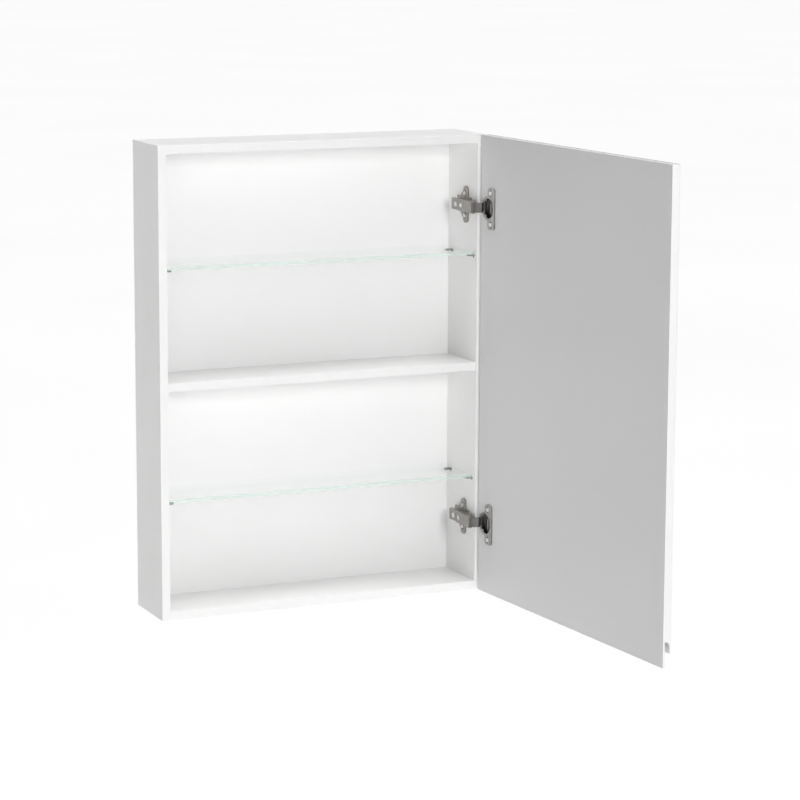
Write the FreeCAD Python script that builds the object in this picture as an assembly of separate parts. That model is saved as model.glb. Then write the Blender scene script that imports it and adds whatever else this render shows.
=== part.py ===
import FreeCAD, Part
import math
import os

# Wall-hung medicine cabinet with one mirrored door on concealed cup hinges. Millimetres, +Z up.
# X = 0 is the middle of the cabinet, Y = 0 is the wall, the front faces -Y and Z = 0 is the underside.
# The door is drawn open, as the cabinet stands at rest.

# Carcass
WIDTH, HEIGHT, DEPTH = 500.0, 670.0, 103.0
BOARD, EDGE_R = 12.0, 0.5
SHELF_TOP = 338.0
SHELF_SETBACK = 3.0
BACK_THICKNESS, BACK_FACE, GROOVE = 3.0, 6.0, 4.0
DOWEL_R, DOWEL_IN_SIDE, DOWEL_IN_BOARD, DOWEL_INSET = 3.0, 8.0, 16.0, 25.0

# Glass shelves and their supports: a peg in the side and a tongue under the glass
GLASS, GLASS_SIDE_GAP, GLASS_SETBACK, GLASS_BACK_GAP, GLASS_CHAMFER = 5.0, 1.5, 5.0, 2.0, 0.4
PEG_R, PEG_IN_SIDE = 2.5, 8.0
TONGUE_OUT, TONGUE_WIDTH, TONGUE_T = 10.5, 7.0, 2.0
SUPPORT_FRONT, SUPPORT_BACK = 12.0, 84.0

# Keyhole plates on the rear edges of the sides
HANGER_W, HANGER_H, HANGER_T = 10.0, 44.0, 1.5
HANGER_SCREW_INSET, POCKET_ROOM = 5.0, 1.0
HANGER_X, HANGER_Z = 244.0, 622.0
KEY_R, SLOT_W, SLOT_RISE, POCKET_W, POCKET_DEPTH = 4.0, 4.2, 10.0, 9.0, 8.0

# Door: a board with a mirror on its outer face and a finger cove behind the mirror's lower edge
DOOR_GAP, DOOR_BOARD, MIRROR = 1.5, 10.0, 3.0
LIP, MIRROR_BOTTOM, COVE_TOP = 3.0, 19.0, 36.0
MIRROR_BEVEL = 1.0

# Hinges. In the hinge plane u runs from the side's inner face into the cabinet and v runs forward
# from the front edge of the side, both with the door closed.
HINGE_Z = {"upper": 566.0, "lower": 103.0}
OPEN_REST = 93.5
LINK_TURN = -0.31
ARM_PIVOT, INNER_PIVOT, CUP_PIVOT = (11.0, 6.3), (8.5, 0.5), (-5.4, 2.9)
PIVOT_R, PIVOT_CLEARANCE = 1.2, 0.05
CUP_FROM_EDGE, CUP_R, CUP_DEPTH, CUP_WALL = 21.5, 17.4, 9.0, 0.6
MOUTH_R, MOUTH_SHIFT, MOUTH_NECK, RIM_T = 14.5, 2.2, 9.6, 1.2
EARS_T, EARS_W, EARS_L, EARS_HOLES, EARS_OFFSET, EARS_CORNER = 2.0, 19.0, 59.5, 45.0, 9.5, 5.0
PLATE_LINE, WING_HOLES, WING_T = 37.5, 32.0, 2.2
FOOT_T, FOOT_BACK, FOOT_FRONT, FOOT_HALF = 2.0, -64.0, -19.0, 11.2
SLOT_R, SLOT_LENGTH = 1.9, 9.6
ARM_TOP, ARM_STEP, ARM_SHEET, ARM_HALF, TAIL_NARROWER = 14.0, 1.5, 1.2, 8.6, 0.4
ARM_SCREW_V, SIDE_SCREW_V = -45.5, -26.5
RIVET_HEAD_R, RIVET_HEAD = 1.9, 0.5
CUP_BORE_SLACK = 0.1

# Screws
CROSS_SLOT, CROWN, CUP_SCREW_CROWN, TIP_R = 0.9, 0.4, 0.5, 0.4

SIDE_IN = WIDTH / 2 - BOARD
CUP_U = CUP_FROM_EDGE - BOARD
Z_AXIS = FreeCAD.Vector(0, 0, 1)


def box(x0, x1, y0, y1, z0, z1):
    return Part.makeBox(x1 - x0, y1 - y0, z1 - z0, FreeCAD.Vector(x0, y0, z0))


def rod(start, direction, radius, length):
    return Part.makeCylinder(radius, length, FreeCAD.Vector(*start), FreeCAD.Vector(*direction))


def cone(start, direction, r0, r1, length):
    return Part.makeCone(r0, r1, length, FreeCAD.Vector(*start), FreeCAD.Vector(*direction))


def fuse(shapes):
    return shapes[0].multiFuse(shapes[1:]).removeSplitter() if len(shapes) > 1 else shapes[0]


def place(u, v, z=0.0):
    """A point of the hinge plane in the cabinet's frame."""
    return FreeCAD.Vector(SIDE_IN - u, -DEPTH - v, z)


def hinge_plate(points, z0, z1):
    """A flat plate with a straight-sided outline in the hinge plane."""
    corners = [place(u, v, z0) for u, v in points]
    return Part.Face(Part.makePolygon(corners + corners[:1])).extrude(FreeCAD.Vector(0, 0, z1 - z0))


def hinge_box(u0, u1, v0, v1, z0, z1):
    return hinge_plate([(u0, v0), (u1, v0), (u1, v1), (u0, v1)], z0, z1)


def hinge_rod(pivot, z0, z1, radius):
    p = place(pivot[0], pivot[1], z0)
    return Part.makeCylinder(radius, z1 - z0, p, Z_AXIS)


def cross_recess(start, direction, radius, depth):
    """Two crossed slots sunk into a screw head."""
    d = FreeCAD.Vector(*direction)
    slots = []
    for turn in (0, 90):
        slot = Part.makeBox(2 * radius, CROSS_SLOT, depth, FreeCAD.Vector(-radius, -CROSS_SLOT / 2, 0))
        slot.rotate(FreeCAD.Vector(0, 0, 0), Z_AXIS, turn + 45)
        slots.append(slot)
    cut = fuse(slots)
    cut.Placement = FreeCAD.Placement(FreeCAD.Vector(*start), FreeCAD.Rotation(Z_AXIS, d))
    return cut


def countersunk(start, direction, head_r, head, shank_r, length):
    """A flat-headed screw: start is the middle of the head's face, direction runs into the hole."""
    d = FreeCAD.Vector(*direction)
    s = FreeCAD.Vector(*start)
    body = cone(start, direction, head_r, shank_r, head)
    shank = Part.makeCylinder(shank_r, length - head - shank_r, s + d * head, d)
    tip = Part.makeCone(shank_r, TIP_R, shank_r, s + d * (length - shank_r), d)
    return fuse([body, shank, tip]).cut(cross_recess(start, direction, head_r * 0.55, head * 0.6))


def countersunk_hole(start, direction, head_r, head, shank_r, length):
    """The hole that countersunk() fills."""
    d = FreeCAD.Vector(*direction)
    s = FreeCAD.Vector(*start)
    shank = Part.makeCylinder(shank_r, length - head - shank_r, s + d * head, d)
    tip = Part.makeCone(shank_r, TIP_R, shank_r, s + d * (length - shank_r), d)
    return fuse([cone(start, direction, head_r, shank_r, head), shank, tip])


def soften(board, at):
    """Rounds the long straight edges of a board whose middles at() picks."""
    chosen = [e for e in board.Edges if e.Length > 5 * BOARD and at(e.BoundBox.Center)]
    return board.makeFillet(EDGE_R, chosen)


def near(a, b):
    return abs(a - b) < 0.01


def side_sign(side):
    return -1 if side == "left" else 1


# ---------------------------------------------------------------- carcass

def board_ends():
    """Height of the middle of each board that joins the two sides."""
    return [BOARD / 2, SHELF_TOP - BOARD / 2, HEIGHT - BOARD / 2]


def dowel(side, y, z):
    s = side_sign(side)
    return rod((s * (SIDE_IN - DOWEL_IN_BOARD), y, z), (s, 0, 0), DOWEL_R, DOWEL_IN_BOARD + DOWEL_IN_SIDE)


def dowels():
    found = []
    for side in ("left", "right"):
        for z in board_ends():
            for y in (-DEPTH + DOWEL_INSET, -DOWEL_INSET):
                found.append(dowel(side, y, z))
    return found


def back_groove():
    """The slot that the thin back slides into, cut in the four boards round it."""
    reach = SIDE_IN + GROOVE
    rear = -BACK_FACE + BACK_THICKNESS
    return box(-reach, reach, -BACK_FACE, rear, BOARD - GROOVE, HEIGHT - BOARD + GROOVE)


def glass_levels():
    """Underside of each glass shelf: halfway up its compartment."""
    low = (BOARD + SHELF_TOP - BOARD) / 2 - GLASS / 2
    high = (SHELF_TOP + HEIGHT - BOARD) / 2 - GLASS / 2
    return {"upper": high, "lower": low}


def shelf_support(side, y, level):
    """A round peg in the side and the flat round-ended tongue that the glass lies on."""
    s = side_sign(side)
    half = TONGUE_WIDTH / 2
    end = s * (SIDE_IN - TONGUE_OUT + half)
    x0, x1 = sorted((end, s * SIDE_IN))
    tongue = [box(x0, x1, y - half, y + half, level - TONGUE_T, level),
              rod((end, y, level - TONGUE_T), (0, 0, 1), half, TONGUE_T)]
    return fuse([rod((s * SIDE_IN, y, level - PEG_R), (s, 0, 0), PEG_R, PEG_IN_SIDE)] + tongue)


def shelf_supports(which):
    level = glass_levels()[which]
    return [shelf_support(side, y, level) for side in ("left", "right") for y in support_rows()]


def support_rows():
    return (-DEPTH + SUPPORT_FRONT, -DEPTH + SUPPORT_BACK)


def support_holes(side):
    s = side_sign(side)
    return [rod((s * SIDE_IN, y, level - PEG_R), (s, 0, 0), PEG_R, PEG_IN_SIDE)
            for level in glass_levels().values() for y in support_rows()]


def hanger_blank(x):
    """The plate's outline, which is also its shallow recess in the side."""
    low, high = HANGER_Z - HANGER_H / 2, HANGER_Z + HANGER_H / 2
    return box(x - HANGER_W / 2, x + HANGER_W / 2, -HANGER_T, 0, low, high)


def hanger_pocket(side):
    x = side_sign(side) * HANGER_X
    low, high = HANGER_Z - KEY_R - POCKET_ROOM, HANGER_Z + SLOT_RISE + KEY_R + POCKET_ROOM
    pocket = box(x - POCKET_W / 2, x + POCKET_W / 2, -POCKET_DEPTH, -HANGER_T, low, high)
    return fuse([hanger_blank(x), pocket])


def hanger_screw_places(side):
    x = side_sign(side) * HANGER_X
    reach = HANGER_H / 2 - HANGER_SCREW_INSET
    return [(x, 0, HANGER_Z - reach), (x, 0, HANGER_Z + reach)]


HANGER_SCREW = dict(head_r=2.6, head=1.4, shank_r=1.3, length=12.0)


def hanger_plate(side):
    x = side_sign(side) * HANGER_X
    entry = rod((x, -HANGER_T, HANGER_Z), (0, 1, 0), KEY_R, HANGER_T)
    slot = box(x - SLOT_W / 2, x + SLOT_W / 2, -HANGER_T, 0, HANGER_Z, HANGER_Z + SLOT_RISE)
    seat = rod((x, -HANGER_T, HANGER_Z + SLOT_RISE), (0, 1, 0), SLOT_W / 2, HANGER_T)
    plate = hanger_blank(x).cut(fuse([entry, slot, seat]))
    for spot in hanger_screw_places(side):
        plate = plate.cut(countersunk_hole(spot, (0, -1, 0), **HANGER_SCREW))
    return plate


def hanger_screws():
    spots = hanger_screw_places("left") + hanger_screw_places("right")
    return [countersunk(spot, (0, -1, 0), **HANGER_SCREW) for spot in spots]


def side_panel(side):
    s = side_sign(side)
    x0, x1 = sorted((s * SIDE_IN, s * WIDTH / 2))
    panel = box(x0, x1, -DEPTH, 0, 0, HEIGHT)
    panel = soften(panel, lambda c: near(abs(c.x), WIDTH / 2))
    cuts = [back_groove(), hanger_pocket(side)] + support_holes(side)
    cuts += [d for d in dowels() if d.BoundBox.Center.x * s > 0]
    cuts += [countersunk_hole(spot, (0, -1, 0), **HANGER_SCREW) for spot in hanger_screw_places(side)]
    if side == "right":
        for z in HINGE_Z.values():
            cuts += plate_screw_holes(z)
    return panel.cut(Part.makeCompound(cuts))


def cross_board(z0, front, back, rounded):
    board = box(-SIDE_IN, SIDE_IN, -DEPTH + front, back, z0, z0 + BOARD)
    board = soften(board, lambda c: near(c.y, -DEPTH + front) and rounded(c.z))
    return board.cut(Part.makeCompound(dowels() + [back_groove()]))


def back_panel():
    reach, slack = SIDE_IN + GROOVE, 0.2
    return box(-reach + slack, reach - slack, -BACK_FACE, -BACK_FACE + BACK_THICKNESS,
               BOARD - GROOVE + slack, HEIGHT - BOARD + GROOVE - slack)


def glass_shelf(which):
    level = glass_levels()[which]
    x = SIDE_IN - GLASS_SIDE_GAP
    shelf = box(-x, x, -DEPTH + GLASS_SETBACK, -BACK_FACE - GLASS_BACK_GAP, level, level + GLASS)
    return shelf.makeChamfer(GLASS_CHAMFER, shelf.Edges)


# ---------------------------------------------------------------- hinges, cabinet side

def recessed_screw(u_under, u_end, v, z, radius, head, shank):
    """A flat-topped screw that runs towards the side panel, its head on the face at u_under."""
    inwards, outwards = FreeCAD.Vector(1, 0, 0), FreeCAD.Vector(-1, 0, 0)
    body = Part.makeCylinder(radius, head - CROWN, place(u_under, v, z), outwards)
    crown = Part.makeCone(radius, radius - CROWN, CROWN, place(u_under + head - CROWN, v, z), outwards)
    stem = Part.makeCylinder(shank, u_under - u_end, place(u_under, v, z), inwards)
    recess = cross_recess(place(u_under + head, v, z), inwards, radius * 0.6, head * 0.6)
    return fuse([body, crown, stem]).cut(recess)


def bore(u0, u1, v, z, radius):
    """A hole square to the side panel."""
    return Part.makeCylinder(radius, u1 - u0, place(u1, v, z), FreeCAD.Vector(1, 0, 0))


PLATE_SCREW = dict(radius=3.0, head=1.6, shank=1.8)
ARM_SCREW = dict(radius=3.6, head=1.6, shank=1.9)
SIDE_SCREW = dict(radius=3.0, head=1.2, shank=1.7)
PLATE_SCREW_END, ARM_SCREW_END, SIDE_SCREW_END = -9.5, 1.0, 5.0


def plate_screw_holes(z):
    return [bore(PLATE_SCREW_END, 0, -PLATE_LINE, z + dz, PLATE_SCREW["shank"])
            for dz in (-WING_HOLES / 2, WING_HOLES / 2)]


def plate_screws(z):
    return [recessed_screw(WING_T, PLATE_SCREW_END, -PLATE_LINE, z + dz, **PLATE_SCREW)
            for dz in (-WING_HOLES / 2, WING_HOLES / 2)]


def slot(thick, v, middle):
    """A hole in a wing, longer up and down than its screw needs."""
    half = SLOT_LENGTH / 2 - SLOT_R
    ends = [bore(0, thick, v, middle + end, SLOT_R) for end in (-half, half)]
    return fuse(ends + [hinge_box(0, thick, v - SLOT_R, v + SLOT_R, middle - half, middle + half)])


def wing(z, way):
    """One of the two round-tipped wings of the foot, with its slotted screw hole."""
    tip_r, tip, reach, shoulder, back, front = 7.5, 1.2, 19.6, 10.5, -17.0, 8.7
    outline = [(back, 0), (back, shoulder), (tip - tip_r, reach), (front, reach), (front, 0)]
    corners = [place(0, dv - PLATE_LINE, z + way * dz) for dv, dz in outline]
    blade = Part.Face(Part.makePolygon(corners + corners[:1])).extrude(FreeCAD.Vector(-WING_T, 0, 0))
    round_tip = bore(0, WING_T, tip - PLATE_LINE, z + way * reach, tip_r)
    return fuse([blade, round_tip]).cut(slot(WING_T, -PLATE_LINE, z + way * WING_HOLES / 2))


def mounting_plate(z):
    inside = ARM_TOP - ARM_STEP - ARM_SHEET
    foot = hinge_box(0, FOOT_T, FOOT_BACK, FOOT_FRONT, z - FOOT_HALF, z + FOOT_HALF)
    block_back, block_front, block_half = -54.0, -14.0, 6.5
    block = hinge_box(0, inside, block_back, block_front, z - block_half, z + block_half)
    plate = fuse([wing(z, -1), wing(z, 1), foot, block])
    holes = [bore(ARM_SCREW_END, inside, ARM_SCREW_V, z, ARM_SCREW["shank"]),
             bore(SIDE_SCREW_END, inside, SIDE_SCREW_V, z, SIDE_SCREW["shank"])]
    return plate.cut(Part.makeCompound(holes))


def arm_screw(z):
    return recessed_screw(ARM_TOP - ARM_STEP, ARM_SCREW_END, ARM_SCREW_V, z, **ARM_SCREW)


def side_adjusting_screw(z):
    return recessed_screw(ARM_TOP, SIDE_SCREW_END, SIDE_SCREW_V, z, **SIDE_SCREW)


def hinge_arm(z):
    """A bent channel, lower and narrower behind a slot in its top, that carries both link pins."""
    nose_r, front_top, step, back, lid = 3.0, 1.6, -35.0, -61.0, 13.5
    u, v = ARM_PIVOT
    low = ARM_TOP - ARM_STEP
    cheek = [(3, step), (3, -5), (6.2, -1), (u - nose_r, v), (u + nose_r, v), (ARM_TOP, -2), (ARM_TOP, step)]
    tail = [(3, step), (3, -52), (8, -54), (8, back), (low, back), (low, step)]
    inner, tail_half = ARM_HALF - ARM_SHEET, ARM_HALF - TAIL_NARROWER
    tail_inner = tail_half - ARM_SHEET
    solid = fuse([hinge_plate(cheek, z - ARM_HALF, z + ARM_HALF),
                  hinge_rod(ARM_PIVOT, z - ARM_HALF, z + ARM_HALF, nose_r),
                  hinge_plate(tail, z - tail_half, z + tail_half)])
    hollow = [hinge_box(0, ARM_TOP - ARM_SHEET, step + ARM_SHEET, front_top, z - inner, z + inner),
              hinge_box(0, low - ARM_SHEET, back - 1, step + ARM_SHEET, z - tail_inner, z + tail_inner),
              hinge_box(0, lid, front_top, v + nose_r + 1, z - inner, z + inner),
              hinge_box(low - ARM_SHEET, low, step - 2.4, step, z - inner + 1, z + inner - 1)]
    holes = [bore(low - ARM_SHEET, low, ARM_SCREW_V, z, ARM_SCREW["shank"]),
             bore(ARM_TOP - ARM_SHEET, ARM_TOP, SIDE_SCREW_V, z, SIDE_SCREW["shank"])]
    holes += [hinge_rod(p, z - ARM_HALF, z + ARM_HALF, PIVOT_R) for p in (ARM_PIVOT, INNER_PIVOT)]
    return solid.cut(fuse(hollow)).cut(Part.makeCompound(holes))


def arm_rivets(z):
    """The two link pins, each with a low head outside each cheek."""
    rivets, end = [], ARM_HALF + RIVET_HEAD
    for pivot in (ARM_PIVOT, INNER_PIVOT):
        heads = [hinge_rod(pivot, z - end, z - ARM_HALF, RIVET_HEAD_R),
                 hinge_rod(pivot, z + ARM_HALF, z + end, RIVET_HEAD_R)]
        rivets.append(fuse([hinge_rod(pivot, z - end, z + end, PIVOT_R)] + heads))
    return rivets


# ---------------------------------------------------------------- hinges, links and cup (door closed)

def strap(points, thick, z0, z1):
    """Bent sheet of constant thickness that follows the points in the hinge plane."""
    pieces = [hinge_rod(p, z0, z1, thick / 2) for p in points]
    for (ua, va), (ub, vb) in zip(points, points[1:]):
        length = math.hypot(ub - ua, vb - va)
        nu, nv = (va - vb) / length * thick / 2, (ub - ua) / length * thick / 2
        pieces.append(hinge_plate([(ua + nu, va + nv), (ub + nu, vb + nv), (ub - nu, vb - nv),
                                   (ua - nu, va - nv)], z0, z1))
    return fuse(pieces)


def outer_link(z):
    """The cranked strap: a narrow eye on the cup's pin and a full-width one on the arm's pin."""
    bend, half, eye_half = [(-4.0, 6.8), (-1.6, 8.5), (5.2, 8.5), (8.6, 7.4)], 7.1, 4.6
    pieces = [strap(bend + [ARM_PIVOT], 1.5, z - half, z + half),
              hinge_rod(ARM_PIVOT, z - half, z + half, 2.2),
              strap([CUP_PIVOT, bend[0]], 1.5, z - eye_half, z + eye_half),
              hinge_rod(CUP_PIVOT, z - eye_half, z + eye_half, 1.7)]
    holes = [hinge_rod(p, z - half, z + half, PIVOT_R + PIVOT_CLEARANCE) for p in (CUP_PIVOT, ARM_PIVOT)]
    return fuse(pieces).cut(Part.makeCompound(holes))


def inner_link(z):
    """The shorter link under the strap, on its own pin in the arm; its cup end stays open."""
    half, end = 3.5, (-1.0, 5.4)
    link = fuse([strap([INNER_PIVOT, end], 1.5, z - half, z + half),
                 hinge_rod(INNER_PIVOT, z - half, z + half, 2.0)])
    return link.cut(hinge_rod(INNER_PIVOT, z - half, z + half, PIVOT_R + PIVOT_CLEARANCE))


CUP_SCREW = dict(radius=2.9, head=1.2, shank=1.7, length=8.0)


def bore_into_door(u, z, v0, v1, radius):
    """A cylinder square to the door, from v0 towards the mirror."""
    return Part.makeCylinder(radius, v1 - v0, place(u, v0, z), FreeCAD.Vector(0, -1, 0))


def cup_rod(z, v0, v1, radius):
    return bore_into_door(CUP_U, z, v0, v1, radius)


def cup_screw_places(z):
    return [(CUP_U + EARS_OFFSET, z + dz) for dz in (-EARS_HOLES / 2, EARS_HOLES / 2)]


def cup_screw_holes(z):
    """The holes in the door board that the flange's screws fill."""
    end = DOOR_GAP + CUP_SCREW["length"]
    return [bore_into_door(u, at, DOOR_GAP, end, CUP_SCREW["shank"]) for u, at in cup_screw_places(z)]


def cup_screws(z):
    """Pan-headed screws that press the flange's ears against the door board."""
    radius, head, shank, length = (CUP_SCREW[k] for k in ("radius", "head", "shank", "length"))
    under, deeper = DOOR_GAP - EARS_T, FreeCAD.Vector(0, -1, 0)
    screws = []
    for u, at in cup_screw_places(z):
        top = place(u, under - head, at)
        crown = Part.makeCone(radius - CUP_SCREW_CROWN, radius, CUP_SCREW_CROWN, top, deeper)
        body = bore_into_door(u, at, under - head + CUP_SCREW_CROWN, under, radius)
        stem = bore_into_door(u, at, under, DOOR_GAP + length, shank)
        recess = cross_recess(top, deeper, radius * 0.6, head * 0.6)
        screws.append(fuse([crown, body, stem]).cut(recess))
    return screws


def ears(z):
    """The upright plate of the flange, with a slot for each screw."""
    u, v0 = CUP_U + EARS_OFFSET + 0.8, DOOR_GAP - EARS_T
    plate = hinge_box(u - EARS_W / 2, u + EARS_W / 2, v0, DOOR_GAP, z - EARS_L / 2, z + EARS_L / 2)
    corners = [e for e in plate.Edges if e.BoundBox.YLength > 0.5 and e.BoundBox.XLength < 0.01
               and e.BoundBox.ZLength < 0.01]
    plate = plate.makeFillet(EARS_CORNER, corners)
    half, slots = SLOT_LENGTH / 2 - SLOT_R, []
    for at_u, at in cup_screw_places(z):
        slots.append(hinge_box(at_u - SLOT_R, at_u + SLOT_R, v0, DOOR_GAP, at - half, at + half))
        slots += [bore_into_door(at_u, at + end, v0, DOOR_GAP, SLOT_R) for end in (-half, half)]
    return plate.cut(fuse(slots))


def hinge_cup(z):
    """The cup with its round rim and ears; a neck in the rim lets the links swing through."""
    v0, floor = DOOR_GAP - EARS_T, DOOR_GAP + CUP_DEPTH
    tube = cup_rod(z, DOOR_GAP, floor, CUP_R).cut(cup_rod(z, DOOR_GAP, floor - CUP_WALL, CUP_R - CUP_WALL))
    flange = fuse([ears(z), cup_rod(z, DOOR_GAP - RIM_T, DOOR_GAP, CUP_R)])
    neck = hinge_box(CUP_U - CUP_R, CUP_U, v0, DOOR_GAP, z - MOUTH_NECK, z + MOUTH_NECK)
    far_half = hinge_box(CUP_U - 4, CUP_U + CUP_R, v0, DOOR_GAP, z - CUP_R, z + CUP_R)
    mouth = bore_into_door(CUP_U + MOUTH_SHIFT, z, v0, DOOR_GAP, MOUTH_R).common(far_half).fuse(neck)
    notch_depth, notch_half = 3.6, 7.6
    notch = hinge_box(-9, -5.5, DOOR_GAP, DOOR_GAP + notch_depth, z - notch_half, z + notch_half)
    return fuse([flange.cut(mouth), tube]).cut(Part.makeCompound([notch, cup_pin(z)]))


def cup_pin(z):
    """The pin across the cup, its ends trimmed to the cup's outer wall."""
    pin = hinge_rod(CUP_PIVOT, z - CUP_R, z + CUP_R, PIVOT_R)
    return pin.common(cup_rod(z, DOOR_GAP, DOOR_GAP + CUP_DEPTH, CUP_R))


def cup_spring(z):
    """The leaf in the cup that holds the door shut: a foot on the cup's floor and a raised lip."""
    floor, u, half = DOOR_GAP + CUP_DEPTH - CUP_WALL, CUP_U + 5.4, 8.0
    foot = hinge_box(u, u + 8.5, floor - 0.8, floor, z - half, z + half)
    lip = hinge_box(u, u + 0.9, DOOR_GAP + 0.3, floor, z - half, z + half)
    return fuse([foot, lip])


# ---------------------------------------------------------------- door (closed)

def door_edge(w, z):
    """A point of the door's section: w runs from its inner face towards the mirror."""
    return FreeCAD.Vector(-WIDTH / 2, -DEPTH - DOOR_GAP - w, z)


def door_panel():
    """The board: its lower end thins to a lip, with a cove above it behind the mirror's edge."""
    radius = DOOR_BOARD - LIP
    low = COVE_TOP - radius
    middle = door_edge(LIP + radius * math.sqrt(0.5), low + radius * math.sqrt(0.5))
    corners = [door_edge(LIP, COVE_TOP), door_edge(LIP, 0), door_edge(0, 0), door_edge(0, HEIGHT),
               door_edge(DOOR_BOARD, HEIGHT), door_edge(DOOR_BOARD, low)]
    edges = [Part.LineSegment(a, b).toShape() for a, b in zip(corners, corners[1:])]
    edges.append(Part.Arc(corners[-1], middle, corners[0]).toShape())
    panel = Part.Face(Part.Wire(edges)).extrude(FreeCAD.Vector(WIDTH, 0, 0))
    inner = -DEPTH - DOOR_GAP
    panel = soften(panel, lambda c: near(c.y, inner) and not near(c.z, 0))
    cuts = []
    for z in HINGE_Z.values():
        cuts.append(cup_rod(z, DOOR_GAP, DOOR_GAP + CUP_DEPTH + CUP_BORE_SLACK, CUP_R + CUP_BORE_SLACK))
        cuts += cup_screw_holes(z)
    return panel.cut(Part.makeCompound(cuts))


def mirror():
    front = -DEPTH - DOOR_GAP - DOOR_BOARD - MIRROR
    glass = box(-WIDTH / 2, WIDTH / 2, front, front + MIRROR, MIRROR_BOTTOM, HEIGHT)
    rim = [e for e in glass.Edges if abs(e.BoundBox.YMax - front) < 0.01]
    return glass.makeChamfer(MIRROR_BEVEL, rim)


# ---------------------------------------------------------------- motion

def turned(pivot, angle, point):
    a = math.radians(angle)
    du, dv = point[0] - pivot[0], point[1] - pivot[1]
    return (pivot[0] + du * math.cos(a) - dv * math.sin(a), pivot[1] + du * math.sin(a) + dv * math.cos(a))


def cup_pivot_at(angle):
    return turned(ARM_PIVOT, LINK_TURN * angle, CUP_PIVOT)


def swing_link(shape, pivot, angle):
    moved = shape.copy()
    moved.rotate(place(*pivot), Z_AXIS, LINK_TURN * angle)
    return moved


def swing_door(shape, angle):
    moved = shape.copy()
    moved.rotate(place(*CUP_PIVOT), Z_AXIS, angle)
    moved.translate(place(*cup_pivot_at(angle)) - place(*CUP_PIVOT))
    return moved


def save(name, shape):
    solids = shape if isinstance(shape, list) else [shape]
    shape = solids[0] if len(solids) == 1 else Part.makeCompound(solids)
    shape.exportStep("parts/" + name + ".step")


def main():
    os.makedirs("parts", exist_ok=True)
    for side in ("left", "right"):
        save(side + "_side_panel", side_panel(side))
        save(side + "_hanger_plate", hanger_plate(side))
    save("top_panel", cross_board(HEIGHT - BOARD, 0, 0, lambda z: near(z, HEIGHT)))
    save("bottom_panel", cross_board(0, 0, 0, lambda z: near(z, 0)))
    save("middle_shelf", cross_board(SHELF_TOP - BOARD, SHELF_SETBACK, -BACK_FACE, lambda z: True))
    save("back_panel", back_panel())
    save("carcass_dowels", dowels())
    save("hanger_screws", hanger_screws())
    for which in ("upper", "lower"):
        save(which + "_glass_shelf", glass_shelf(which))
        save(which + "_shelf_supports", shelf_supports(which))
        z = HINGE_Z[which]
        save(which + "_mounting_plate", mounting_plate(z))
        save(which + "_plate_screws", plate_screws(z))
        save(which + "_hinge_arm", hinge_arm(z))
        save(which + "_arm_screw", arm_screw(z))
        save(which + "_side_adjusting_screw", side_adjusting_screw(z))
        save(which + "_arm_rivets", arm_rivets(z))
        save(which + "_outer_link", swing_link(outer_link(z), ARM_PIVOT, OPEN_REST))
        save(which + "_inner_link", swing_link(inner_link(z), INNER_PIVOT, OPEN_REST))
        save(which + "_hinge_cup", swing_door(hinge_cup(z), OPEN_REST))
        save(which + "_cup_pin", swing_door(cup_pin(z), OPEN_REST))
        save(which + "_cup_spring", swing_door(cup_spring(z), OPEN_REST))
        save(which + "_cup_screws", [swing_door(s, OPEN_REST) for s in cup_screws(z)])
    save("door_panel", swing_door(door_panel(), OPEN_REST))
    save("mirror", swing_door(mirror(), OPEN_REST))


main()
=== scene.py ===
import math

import bpy
from mathutils import Matrix, Vector

# Medicine cabinet with a mirrored door: looks, light and camera. Metres, in the CAD part's own frame.
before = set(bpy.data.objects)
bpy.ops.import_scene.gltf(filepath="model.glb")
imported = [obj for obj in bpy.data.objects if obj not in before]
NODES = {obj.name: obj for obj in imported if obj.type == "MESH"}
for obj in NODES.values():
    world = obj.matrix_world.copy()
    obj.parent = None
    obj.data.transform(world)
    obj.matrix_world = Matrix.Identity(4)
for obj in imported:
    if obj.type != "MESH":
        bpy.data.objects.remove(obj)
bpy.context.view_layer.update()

# Camera, at the reference view
CAMERA_PLACE = Vector((-1.610, -3.898, 1.027))
CAMERA_YAW, CAMERA_PITCH, CAMERA_ROLL = 24.46, -10.01, 0.23
CAMERA_LENS, CAMERA_SENSOR, CAMERA_NEAR = 132.05, 36.0, 0.05

# Studio
FLOOR_DROP, FLOOR_SIZE = 1.0, 160.0
WORLD_LIGHT, WORLD_FRONT = 0.08, 0.42
GLOW_STARTS, GLOW_FULL = -0.55, -1.0
KEY_POWER, KEY_SIZE = 40.0, 0.9
KEY_PLACE, KEY_TARGET = Vector((-0.15, -3.6, 1.30)), Vector((0, 0, 0.33))
TOP_SUN, TOP_SUN_ANGLE = 3.05, 40.0

# Door at rest: its angle, and the way into its board from its inner face
OPEN_REST = math.radians(93.5)
DOOR_DEEPER = Vector((math.sin(OPEN_REST), -math.cos(OPEN_REST), 0))

# Hinge cup: its depth, the tones inside it (walls darkened as painted shade, a lighter floor), and how high
# above its bottom the floor's tone ends
CUP_DEPTH, CUP_WALL_PAINTED_SHADE, CUP_FLOOR_TONE = 0.009, 0.12, 0.45
CUP_RIM_BLEND, CUP_FLOOR_TOP, CUP_FLOOR_FULL = 0.0004, 0.0014, 0.0010

# Shelf glass: how much of it is not see-through, at its front edge and for the sheen on its faces,
# and how far behind the front the edge's tint fades and ends
GLASS_EDGE, GLASS_SHEEN = 0.38, 0.025
EDGE_TINT_FADES, EDGE_TINT_ENDS = 0.0003, 0.0005


# ---------------------------------------------------------------- node helpers

def new_material(name):
    material = bpy.data.materials.new(name)
    material.use_nodes = True
    tree = material.node_tree
    shader = tree.nodes["Principled BSDF"]
    return material, tree, shader


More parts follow.
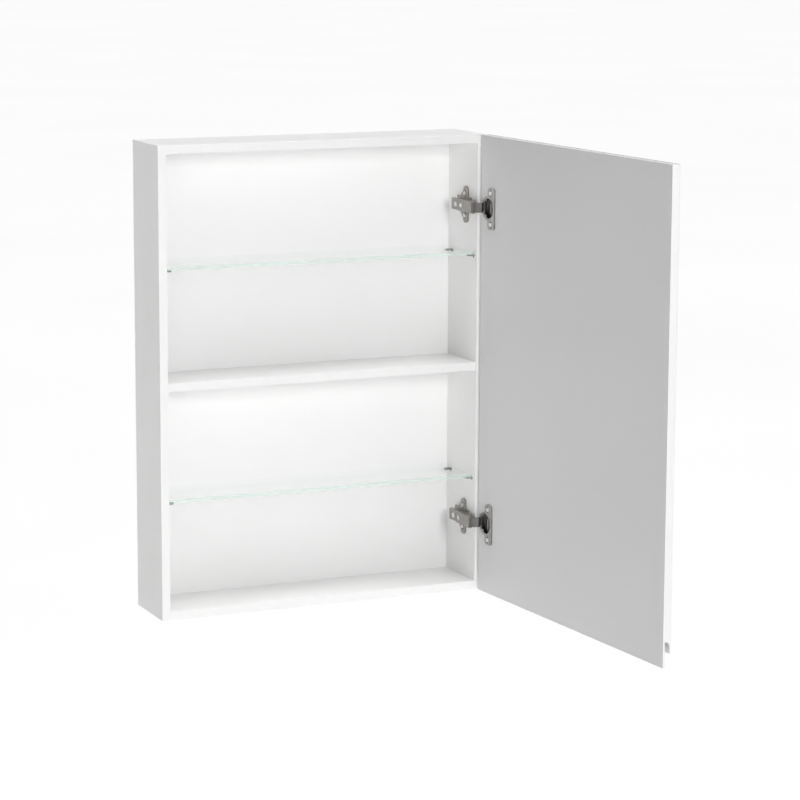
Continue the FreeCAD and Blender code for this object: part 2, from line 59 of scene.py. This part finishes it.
def add(tree, kind, inputs=None, **settings):
    """A node with its settings and its inputs filled in; an input given as a socket is linked."""
    node = tree.nodes.new(kind)
    for key, value in settings.items():
        setattr(node, key, value)
    for key, value in (inputs or {}).items():
        if isinstance(value, bpy.types.NodeSocket):
            tree.links.new(value, node.inputs[key])
        else:
            node.inputs[key].default_value = value
    return node


def along(tree, vector, direction):
    """How far a vector reaches in a direction."""
    product = add(tree, "ShaderNodeVectorMath", {0: vector, 1: direction}, operation="DOT_PRODUCT")
    return product.outputs["Value"]


def place_of(tree, stretch=(1, 1, 1)):
    """The part's own coordinates, which ride with it when a joint moves."""
    here = add(tree, "ShaderNodeTexCoord").outputs["Object"]
    return add(tree, "ShaderNodeMapping", {"Vector": here, "Scale": stretch}).outputs["Vector"]


def noise(tree, place, scale, detail=3.0, rough=0.5):
    node = add(tree, "ShaderNodeTexNoise", {"Vector": place, "Scale": scale, "Detail": detail,
                                            "Roughness": rough})
    return node.outputs["Fac"]


def spread(tree, value, low, high):
    """Noise runs mostly from 0.3 to 0.7; this stretches it from low to high."""
    node = add(tree, "ShaderNodeMapRange", {"Value": value, "From Min": 0.3, "From Max": 0.7,
                                            "To Min": low, "To Max": high})
    return node.outputs["Result"]


def mix(tree, factor, a, b):
    node = add(tree, "ShaderNodeMix", data_type="RGBA")
    for key, value in ((0, factor), (6, a), (7, b)):
        if isinstance(value, bpy.types.NodeSocket):
            tree.links.new(value, node.inputs[key])
        else:
            node.inputs[key].default_value = value
    return node.outputs[2]


def bump(tree, shader, height, strength, distance):
    node = add(tree, "ShaderNodeBump", {"Height": height, "Strength": strength, "Distance": distance})
    tree.links.new(node.outputs["Normal"], shader.inputs["Normal"])


def grey(level, warm=0.0):
    """A grey; warm shifts it from blue towards red."""
    return (level * (1 + warm), level, level * (1 - warm), 1)


# ---------------------------------------------------------------- materials

def coated_board(name, level, warm, roughness, peel):
    """White coating on board: faint tone drift, a fine orange peel and a few duller patches."""
    material, tree, shader = new_material(name)
    place = place_of(tree)
    drift = spread(tree, noise(tree, place, 5.0), 0.0, 1.0)
    tone = mix(tree, drift, grey(level * 0.985, warm), grey(level, warm * 0.6))
    tree.links.new(tone, shader.inputs["Base Color"])
    dull = spread(tree, noise(tree, place, 38.0, 4.0), roughness - 0.04, roughness + 0.05)
    tree.links.new(dull, shader.inputs["Roughness"])
    bump(tree, shader, noise(tree, place, 900.0, 2.0), peel, 0.00004)
    shader.inputs["Specular IOR Level"].default_value = 0.45
    return material


def board_with_shaded_face(name, edge_level, painted_shade_level, roughness, peel):
    """A coated board whose inner face is a shade greyer than its banded edges: painted shade on the face
    turned away from the light.
    """
    material = coated_board(name, edge_level, 0.0, roughness, peel)
    tree = material.node_tree
    shader = tree.nodes["Principled BSDF"]
    facing = add(tree, "ShaderNodeTexCoord").outputs["Normal"]
    inward = along(tree, facing, -DOOR_DEEPER)
    # Painted shade: the inner face, found by which way it faces, is given a greyer colour than the edges.
    face = add(tree, "ShaderNodeMapRange", {"Value": inward, "From Min": 0.75, "From Max": 0.98})
    painted_shade_share = painted_shade_level / edge_level
    coat = shader.inputs["Base Color"].links[0].from_socket
    painted_shade_layer = add(tree, "ShaderNodeMix", data_type="RGBA", blend_type="MULTIPLY")
    painted_shade_layer.inputs[0].default_value = 1.0
    tree.links.new(coat, painted_shade_layer.inputs[6])
    tree.links.new(mix(tree, face.outputs["Result"], grey(1.0), grey(painted_shade_share)), painted_shade_layer.inputs[7])
    tree.links.new(painted_shade_layer.outputs[2], shader.inputs["Base Color"])
    return material


def shelf_glass(name, node):
    """Clear float glass: see-through, with a faint reflection and a pale green polished front edge."""
    material, tree, shader = new_material(name)
    place = place_of(tree)
    drift = spread(tree, noise(tree, place, 9.0), 0.0, 1.0)
    green = mix(tree, drift, (0.62, 0.84, 0.73, 1), (0.70, 0.88, 0.79, 1))
    tree.links.new(green, shader.inputs["Base Color"])
    smears = spread(tree, noise(tree, place, 14.0, 4.0), 0.26, 0.34)
    tree.links.new(smears, shader.inputs["Roughness"])
    bump(tree, shader, noise(tree, place, 30.0, 1.0), 0.02, 0.00002)
    clear = add(tree, "ShaderNodeBsdfTransparent", {"Color": (0.992, 0.998, 0.995, 1)})
    front = min(corner.co.y for corner in NODES[node].data.vertices)
    behind = add(tree, "ShaderNodeSeparateXYZ", {"Vector": place}).outputs["Y"]
    edge = add(tree, "ShaderNodeMapRange", {"Value": behind, "From Min": front + EDGE_TINT_FADES,
                                            "From Max": front + EDGE_TINT_ENDS, "To Min": GLASS_EDGE,
                                            "To Max": 0.0}).outputs["Result"]
    sheen = add(tree, "ShaderNodeFresnel", {"IOR": 1.5}).outputs["Fac"]
    sheen = add(tree, "ShaderNodeMath", {0: sheen, 1: GLASS_SHEEN}, operation="MULTIPLY").outputs["Value"]
    solid = add(tree, "ShaderNodeMath", {0: edge, 1: sheen}, operation="MAXIMUM").outputs["Value"]
    layers = {"Fac": solid, 1: clear.outputs["BSDF"], 2: shader.outputs["BSDF"]}
    both = add(tree, "ShaderNodeMixShader", layers)
    tree.links.new(both.outputs["Shader"], tree.nodes["Material Output"].inputs["Surface"])
    return material


def mirror_glass(name):
    """Silvered glass, with the faintest haze and waviness."""
    material, tree, shader = new_material(name)
    place = place_of(tree)
    shader.inputs["Metallic"].default_value = 1.0
    silver = mix(tree, spread(tree, noise(tree, place, 3.0), 0, 1), grey(0.90), (0.90, 0.925, 0.915, 1))
    tree.links.new(silver, shader.inputs["Base Color"])
    haze = spread(tree, noise(tree, place, 22.0, 4.0), 0.012, 0.035)
    tree.links.new(haze, shader.inputs["Roughness"])
    bump(tree, shader, noise(tree, place, 6.0, 1.0), 0.003, 0.00002)
    return material


def plated_steel(name, level, warm, roughness, brushed=(1, 1, 1), metallic=1.0):
    """Nickel-plated pressed steel: cloudy tone, satin streaks and fine tool marks."""
    material, tree, shader = new_material(name)
    place, lengthways = place_of(tree), place_of(tree, brushed)
    clouds = spread(tree, noise(tree, place, 160.0, 4.0), 0, 1)
    tone = mix(tree, clouds, grey(level * 0.86, warm), grey(level * 1.06, warm * 0.5))
    tree.links.new(tone, shader.inputs["Base Color"])
    shader.inputs["Metallic"].default_value = metallic
    streaks = spread(tree, noise(tree, lengthways, 900.0, 3.0), roughness - 0.07, roughness + 0.10)
    tree.links.new(streaks, shader.inputs["Roughness"])
    bump(tree, shader, noise(tree, lengthways, 1500.0, 2.0), 0.10, 0.00003)
    return material


def cup_steel_with_painted_shade(name, node, level, warm, roughness):
    """The plated steel of the cup's flange; inside, walls darkened as painted shade for the deep cup, and a
    lighter floor.
    """
    material = plated_steel(name, level, warm, roughness)
    tree = material.node_tree
    shader = tree.nodes["Principled BSDF"]
    bottom = max(corner.co.dot(DOOR_DEEPER) for corner in NODES[node].data.vertices)
    here = add(tree, "ShaderNodeTexCoord").outputs["Object"]
    depth = along(tree, here, DOOR_DEEPER)
    # Painted shade: the walls inside the cup are coloured near black, standing for the shadow deep in the
    # cup.
    painted_shade_walls = add(tree, "ShaderNodeMapRange", {"Value": depth, "From Min": bottom - CUP_DEPTH - CUP_RIM_BLEND,
                                             "From Max": bottom - CUP_DEPTH + CUP_RIM_BLEND})
    floor = add(tree, "ShaderNodeMapRange", {"Value": depth, "From Min": bottom - CUP_FLOOR_TOP,
                                             "From Max": bottom - CUP_FLOOR_FULL})
    plated = shader.inputs["Base Color"].links[0].from_socket
    tone = mix(tree, painted_shade_walls.outputs["Result"], plated, grey(CUP_WALL_PAINTED_SHADE, warm))
    tone = mix(tree, floor.outputs["Result"], tone, grey(CUP_FLOOR_TONE, warm))
    tree.links.new(tone, shader.inputs["Base Color"])
    return material


def bare_wood(name):
    """Beech dowel: pale, with a fine grain along its length."""
    material, tree, shader = new_material(name)
    grain = noise(tree, place_of(tree, (0.08, 1, 1)), 420.0, 4.0)
    tone = mix(tree, spread(tree, grain, 0, 1), (0.62, 0.43, 0.25, 1), (0.76, 0.58, 0.38, 1))
    tree.links.new(tone, shader.inputs["Base Color"])
    shader.inputs["Roughness"].default_value = 0.65
    bump(tree, shader, grain, 0.2, 0.0001)
    return material


def floor_paint(name):
    material, tree, shader = new_material(name)
    tone = mix(tree, spread(tree, noise(tree, place_of(tree), 0.5), 0, 1), grey(0.93), grey(0.95))
    tree.links.new(tone, shader.inputs["Base Color"])
    shader.inputs["Roughness"].default_value = 0.9
    return material


def dress(material, *names):
    """Gives the named nodes the material."""
    for name in names:
        mesh = NODES[name].data
        mesh.materials.clear()
        mesh.materials.append(material)


def dress_all():
    white = coated_board("white_coated_board", 0.90, 0.004, 0.42, 0.10)
    # Painted light: the back board is coloured a shade whiter than the other boards, brightening the
    # recessed, shaded inside of the cabinet.
    back = coated_board("back_board_with_painted_light", 0.94, 0.002, 0.50, 0.06)
    # The door board carries painted shade: its inner face is coloured greyer than its edges.
    door = board_with_shaded_face("white_door_board_with_painted_shade", 0.85, 0.66, 0.34, 0.08)
    dress(white, "left_side_panel", "right_side_panel", "top_panel", "bottom_panel", "middle_shelf")
    dress(back, "back_panel")
    dress(door, "door_panel")
    dress(mirror_glass("silvered_mirror"), "mirror")
    dress(bare_wood("beech_dowel"), "carcass_dowels")
    plated = plated_steel("nickel_plate", 0.33, 0.085, 0.34)
    strap = plated_steel("nickel_strap", 0.18, 0.06, 0.38, (1, 1, 0.05))
    leaf = plated_steel("cup_leaf", 0.62, 0.02, 0.45, metallic=0.3)
    bright = plated_steel("zinc_screw", 0.90, 0.0, 0.35, metallic=0.5)
    support = plated_steel("shelf_support_steel", 0.26, 0.0, 0.35)
    dress(plated, "left_hanger_plate", "right_hanger_plate")
    dress(bright, "hanger_screws")
    for which in ("upper", "lower"):
        shelf = which + "_glass_shelf"
        dress(shelf_glass(which + "_glass", shelf), shelf)
        dress(support, which + "_shelf_supports")
        dress(plated, *(which + end for end in ("_mounting_plate", "_hinge_arm", "_arm_rivets", "_cup_pin")))
        dress(strap, which + "_outer_link", which + "_inner_link")
        dress(bright, *(which + end for end in ("_plate_screws", "_arm_screw", "_side_adjusting_screw",
                                                "_cup_screws")))
        dress(leaf, which + "_cup_spring")
        cup = which + "_hinge_cup"
        # The hinge cup's inside walls carry painted shade.
        dress(cup_steel_with_painted_shade(cup + "_steel", cup, 0.40, 0.03, 0.36), cup)


# ---------------------------------------------------------------- studio

def build_floor():
    bpy.ops.mesh.primitive_plane_add(size=FLOOR_SIZE, location=(0, 0, -FLOOR_DROP))
    floor = bpy.context.object
    floor.name = "floor"
    floor.data.materials.append(floor_paint("floor_paint"))


def build_world():
    world = bpy.data.worlds.new("studio")
    world.use_nodes = True
    tree = world.node_tree
    background = tree.nodes["Background"]
    background.inputs["Color"].default_value = (1, 1, 1, 1)
    towards = add(tree, "ShaderNodeTexCoord").outputs["Generated"]
    forward = add(tree, "ShaderNodeSeparateXYZ", {"Vector": towards}).outputs["Y"]
    glow = add(tree, "ShaderNodeMapRange", {"Value": forward, "From Min": GLOW_STARTS,
                                            "From Max": GLOW_FULL, "To Min": WORLD_LIGHT,
                                            "To Max": WORLD_LIGHT + WORLD_FRONT})
    tree.links.new(glow.outputs["Result"], background.inputs["Strength"])
    bpy.context.scene.world = world


def aim(thing, target):
    """Turns a light so that it shines at the target."""
    thing.rotation_mode = "QUATERNION"
    thing.rotation_quaternion = (target - thing.location).to_track_quat("-Z", "Y")


def build_lights():
    data = bpy.data.lights.new("key", "AREA")
    data.shape, data.size, data.energy = "SQUARE", KEY_SIZE, KEY_POWER
    key = bpy.data.objects.new("key", data)
    key.location = KEY_PLACE
    aim(key, KEY_TARGET)
    bpy.context.scene.collection.objects.link(key)
    data = bpy.data.lights.new("top", "SUN")
    data.energy, data.angle = TOP_SUN, math.radians(TOP_SUN_ANGLE)
    top = bpy.data.objects.new("top", data)
    bpy.context.scene.collection.objects.link(top)


def build_camera():
    data = bpy.data.cameras.new("camera")
    data.lens, data.sensor_width = CAMERA_LENS, CAMERA_SENSOR
    data.clip_start, data.clip_end = CAMERA_NEAR, 2 * FLOOR_SIZE
    camera = bpy.data.objects.new("camera", data)
    turn = (Matrix.Rotation(math.radians(-CAMERA_YAW), 4, "Z")
            @ Matrix.Rotation(math.radians(90 + CAMERA_PITCH), 4, "X")
            @ Matrix.Rotation(math.radians(CAMERA_ROLL), 4, "Z"))
    camera.matrix_world = Matrix.Translation(CAMERA_PLACE) @ turn
    bpy.context.scene.collection.objects.link(camera)
    bpy.context.scene.camera = camera


dress_all()
build_floor()
build_world()
build_lights()
build_camera()
bpy.context.scene.view_settings.view_transform = "Standard"
